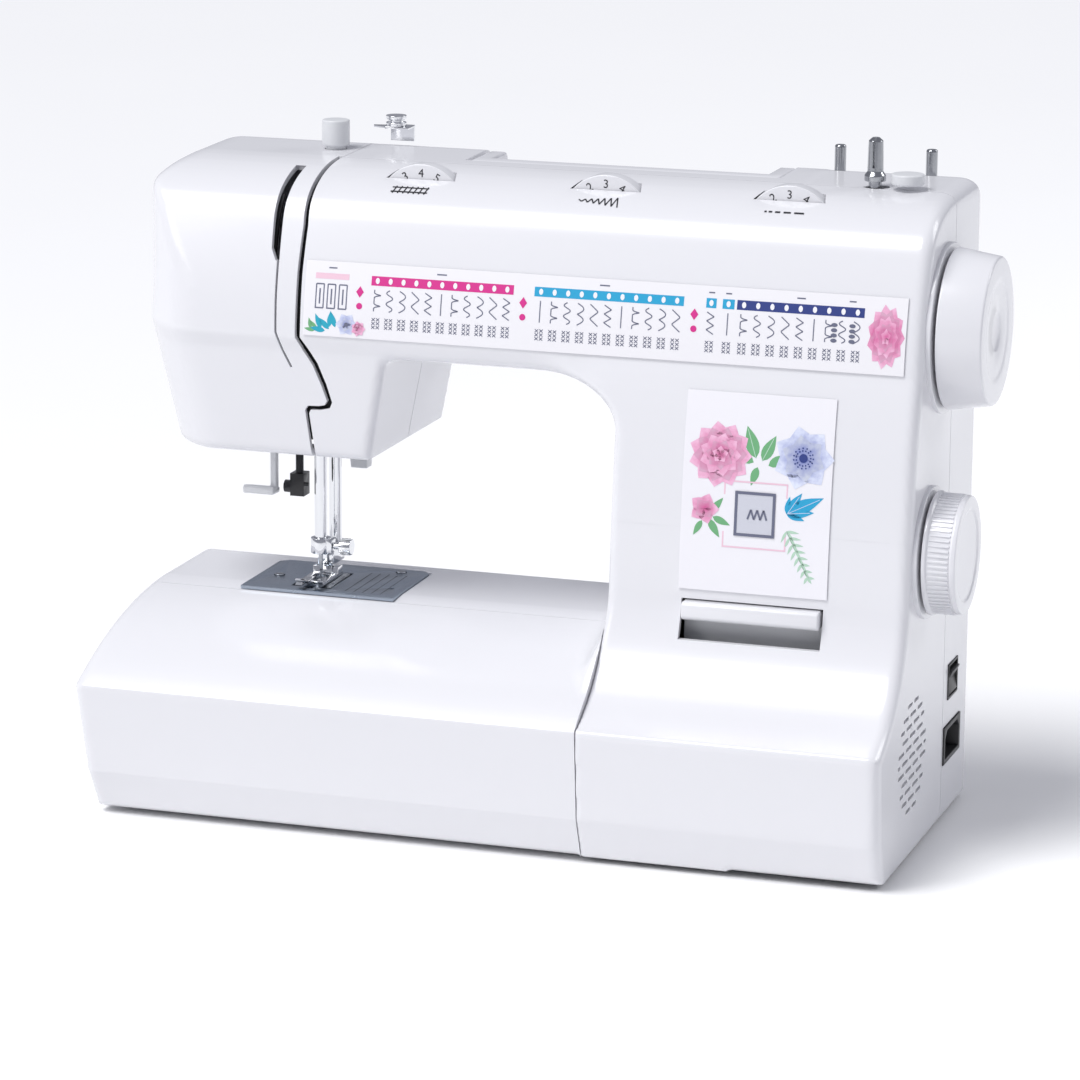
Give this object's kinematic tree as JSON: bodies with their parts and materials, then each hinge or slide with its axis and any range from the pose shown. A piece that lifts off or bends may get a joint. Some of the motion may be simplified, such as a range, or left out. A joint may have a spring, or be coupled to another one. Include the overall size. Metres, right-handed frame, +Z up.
{
  "type": "sewing machine",
  "caption": "Domestic free-arm sewing machine with a sliding extension table, three top dials, a side pattern selector, a handwheel and a reverse lever.",
  "frame": {"origin": "middle of the machine's footprint box, on the surface its rubber feet stand on", "axes": "+X along the arm towards the handwheel, +Y to the back, +Z up; the operator sits at -Y"},
  "size_m": [0.4118, 0.1784, 0.3245],
  "materials": {
    "white_shell": "glossy white ABS, cool",
    "soft_white": "satin white moulding",
    "clear_plastic": "translucent clear plastic",
    "grey_plastic": "grey moulded plastic",
    "black_plastic": "black moulded plastic, fine satin",
    "chrome": "polished chrome plate",
    "steel": "ground steel",
    "plate_steel": "blue-grey brushed steel",
    "cast_aluminium": "sand-cast aluminium",
    "rubber_black": "black rubber",
    "printed_label": "printed film over white plastic",
    "lamp_glass": "small frosted bulb"
  },
  "bodies": {
    "root": {"front_cover": "white_shell", "rear_cover": "white_shell", "face_cover": "white_shell", "free_arm_cover": "white_shell", "winder_stop": "soft_white", "window_lens": "clear_plastic", "power_inlet": "black_plastic", "thread_guide": "chrome", "plate_screw_left": "steel", "plate_screw_right": "steel", "bobbin_case": "steel", "presser_spring": "steel", "needle_plate": "plate_steel", "frame_casting": "cast_aluminium", "base_plate": "cast_aluminium", "motor": "cast_aluminium", "motor_belt": "rubber_black", "timing_belt": "rubber_black", "foot_front_left": "rubber_black", "foot_front_right": "rubber_black", "foot_rear_left": "rubber_black", "foot_rear_right": "rubber_black", "stitch_chart": "printed_label", "decor_panel": "printed_label", "lamp_bulb": "lamp_glass"},
    "extension_table": {"extension_table": "white_shell"},
    "shuttle_door": {"shuttle_cover": "white_shell"},
    "handwheel": {"handwheel": "white_shell", "upper_shaft": "steel", "drive_pulley": "grey_plastic", "timing_pulley": "grey_plastic"},
    "motor_rotor": {"motor_pulley": "steel"},
    "lower_shaft": {"lower_shaft": "steel"},
    "hook": {"hook": "steel"},
    "bobbin": {"bobbin": "steel"},
    "needle_bar": {"needle_bar": "chrome", "needle_clamp": "chrome", "needle": "steel"},
    "clamp_screw": {"needle_clamp_screw": "chrome"},
    "take_up_lever": {"take_up_lever": "chrome"},
    "presser_bar": {"presser_bar": "chrome", "foot_holder": "chrome"},
    "presser_foot": {"presser_foot": "chrome"},
    "presser_lifter": {"presser_lifter": "soft_white"},
    "pressure_dial": {"pressure_dial": "clear_plastic"},
    "threader": {"threader_lever": "soft_white", "threader_head": "black_plastic"},
    "feed_dog": {"feed_dog": "steel"},
    "pattern_selector": {"pattern_selector_dial": "white_shell", "selector_drum": "grey_plastic"},
    "reverse_lever": {"reverse_lever": "white_shell"},
    "power_switch": {"power_switch": "black_plastic"},
    "tension_dial": {"tension_dial": "white_shell"},
    "width_dial": {"width_dial": "white_shell"},
    "length_dial": {"length_dial": "white_shell"},
    "spool_pin_left": {"spool_pin_left": "chrome"},
    "spool_pin_right": {"spool_pin_right": "chrome"},
    "winder_arm": {"winder_arm": "steel"},
    "winder_spindle": {"winder_spindle": "chrome"},
    "carrying_handle": {"carrying_handle": "soft_white"}
  },
  "joints": [
    {"name": "handwheel_spin", "type": "hinge", "parent": "root", "child": "handwheel", "pos_m": [-0.0099, 0.02005, 0.2415], "axis": [1, 0, 0], "continuous": true},
    {"name": "motor_spin", "type": "hinge", "parent": "root", "child": "motor_rotor", "pos_m": [-0.0099, 0.05775, 0.0625], "axis": [1, 0, 0], "continuous": true},
    {"name": "lower_shaft_spin", "type": "hinge", "parent": "root", "child": "lower_shaft", "pos_m": [-0.0099, 0.01075, 0.0725], "axis": [1, 0, 0], "continuous": true},
    {"name": "hook_swing", "type": "hinge", "parent": "root", "child": "hook", "pos_m": [-0.1274, 0.01075, 0.0725], "axis": [1, 0, 0], "range_deg": [-100, 100]},
    {"name": "bobbin_spin", "type": "hinge", "parent": "root", "child": "bobbin", "pos_m": [-0.1314, 0.01075, 0.0725], "axis": [1, 0, 0], "continuous": true},
    {"name": "needle_bar_slide", "type": "slide", "parent": "root", "child": "needle_bar", "axis": [0, 0, 1], "range_m": [0, 0.03]},
    {"name": "clamp_screw_turn", "type": "hinge", "parent": "needle_bar", "child": "clamp_screw", "pos_m": [-0.1154, 0.01075, 0.11705], "axis": [1, 0, 0], "range_deg": [-360, 0]},
    {"name": "take_up_swing", "type": "hinge", "parent": "root", "child": "take_up_lever", "pos_m": [-0.1314, 0.02005, 0.2655], "axis": [-1, 0, 0], "range_deg": [0, 62]},
    {"name": "presser_bar_slide", "type": "slide", "parent": "root", "child": "presser_bar", "axis": [0, 0, 1], "range_m": [0, 0.007], "deforming": ["presser_spring"]},
    {"name": "presser_foot_tilt", "type": "hinge", "parent": "presser_bar", "child": "presser_foot", "pos_m": [-0.1204, 0.01975, 0.1042], "axis": [1, 0, 0], "range_deg": [-5, 1]},
    {"name": "presser_lifter_swing", "type": "hinge", "parent": "root", "child": "presser_lifter", "pos_m": [-0.1159, 0.05375, 0.1755], "axis": [0, -1, 0], "range_deg": [0, 60]},
    {"name": "pressure_dial_turn", "type": "hinge", "parent": "root", "child": "pressure_dial", "pos_m": [-0.1296, 0.05775, 0.3035], "axis": [0, 0, 1], "range_deg": [-180, 180]},
    {"name": "threader_slide", "type": "slide", "parent": "root", "child": "threader", "axis": [0, 0, -1], "range_m": [0, 0.028], "stiffness_N_per_m": 150, "springref_m": -0.004},
    {"name": "feed_dog_slide", "type": "slide", "parent": "root", "child": "feed_dog", "axis": [0, 1, 0], "range_m": [-0.002, 0.002]},
    {"name": "pattern_selector_turn", "type": "hinge", "parent": "root", "child": "pattern_selector", "pos_m": [0.1821, -0.00395, 0.1415], "axis": [1, 0, 0], "continuous": true},
    {"name": "reverse_lever_press", "type": "hinge", "parent": "root", "child": "reverse_lever", "pos_m": [0.1096, -0.01125, 0.1065], "axis": [1, 0, 0], "range_deg": [0, 7], "stiffness_Nm_per_rad": 2},
    {"name": "power_switch_rock", "type": "hinge", "parent": "root", "child": "power_switch", "pos_m": [0.1761, 0.05425, 0.067], "axis": [0, -1, 0], "range_deg": [0, 14]},
    {"name": "tension_dial_turn", "type": "hinge", "parent": "root", "child": "tension_dial", "pos_m": [-0.0697, 0.01125, 0.2828], "axis": [0, 1, 0], "range_deg": [-150, 150]},
    {"name": "width_dial_turn", "type": "hinge", "parent": "root", "child": "width_dial", "pos_m": [0.02105, 0.01125, 0.2828], "axis": [0, 1, 0], "range_deg": [-150, 150]},
    {"name": "length_dial_turn", "type": "hinge", "parent": "root", "child": "length_dial", "pos_m": [0.109, 0.01125, 0.2828], "axis": [0, 1, 0], "range_deg": [-150, 150]},
    {"name": "spool_pin_left_pull", "type": "slide", "parent": "root", "child": "spool_pin_left", "axis": [0, 0, 1], "range_m": [0, 0.025]},
    {"name": "spool_pin_right_pull", "type": "slide", "parent": "root", "child": "spool_pin_right", "axis": [0, 0, 1], "range_m": [0, 0.025]},
    {"name": "winder_swing", "type": "hinge", "parent": "root", "child": "winder_arm", "pos_m": [0.1346, 0.06875, 0.2915], "axis": [0, 0, 1], "range_deg": [0, 6]},
    {"name": "winder_spin", "type": "hinge", "parent": "winder_arm", "child": "winder_spindle", "pos_m": [0.1421, 0.03925, 0.3035], "axis": [0, 0, 1], "continuous": true},
    {"name": "carrying_handle_swing", "type": "hinge", "parent": "root", "child": "carrying_handle", "pos_m": [-0.0099, 0.07875, 0.2975], "axis": [-1, 0, 0], "range_deg": [0, 90]},
    {"name": "extension_table_pull", "type": "slide", "parent": "root", "child": "extension_table", "axis": [-1, 0, 0], "range_m": [0, 0.26]},
    {"name": "shuttle_door_swing", "type": "hinge", "parent": "root", "child": "shuttle_door", "pos_m": [-0.2049, 0.02275, 0.0489], "axis": [0, -1, 0], "range_deg": [0, 80]}
  ],
  "couplings": [
    {"joint": "motor_spin", "follows": "handwheel_spin", "ratio": 3.8571},
    {"joint": "lower_shaft_spin", "follows": "handwheel_spin", "ratio": 1},
    {"joint": "presser_lifter_swing", "follows": "presser_bar_slide", "rad_per_m": 149.6}
  ]
}
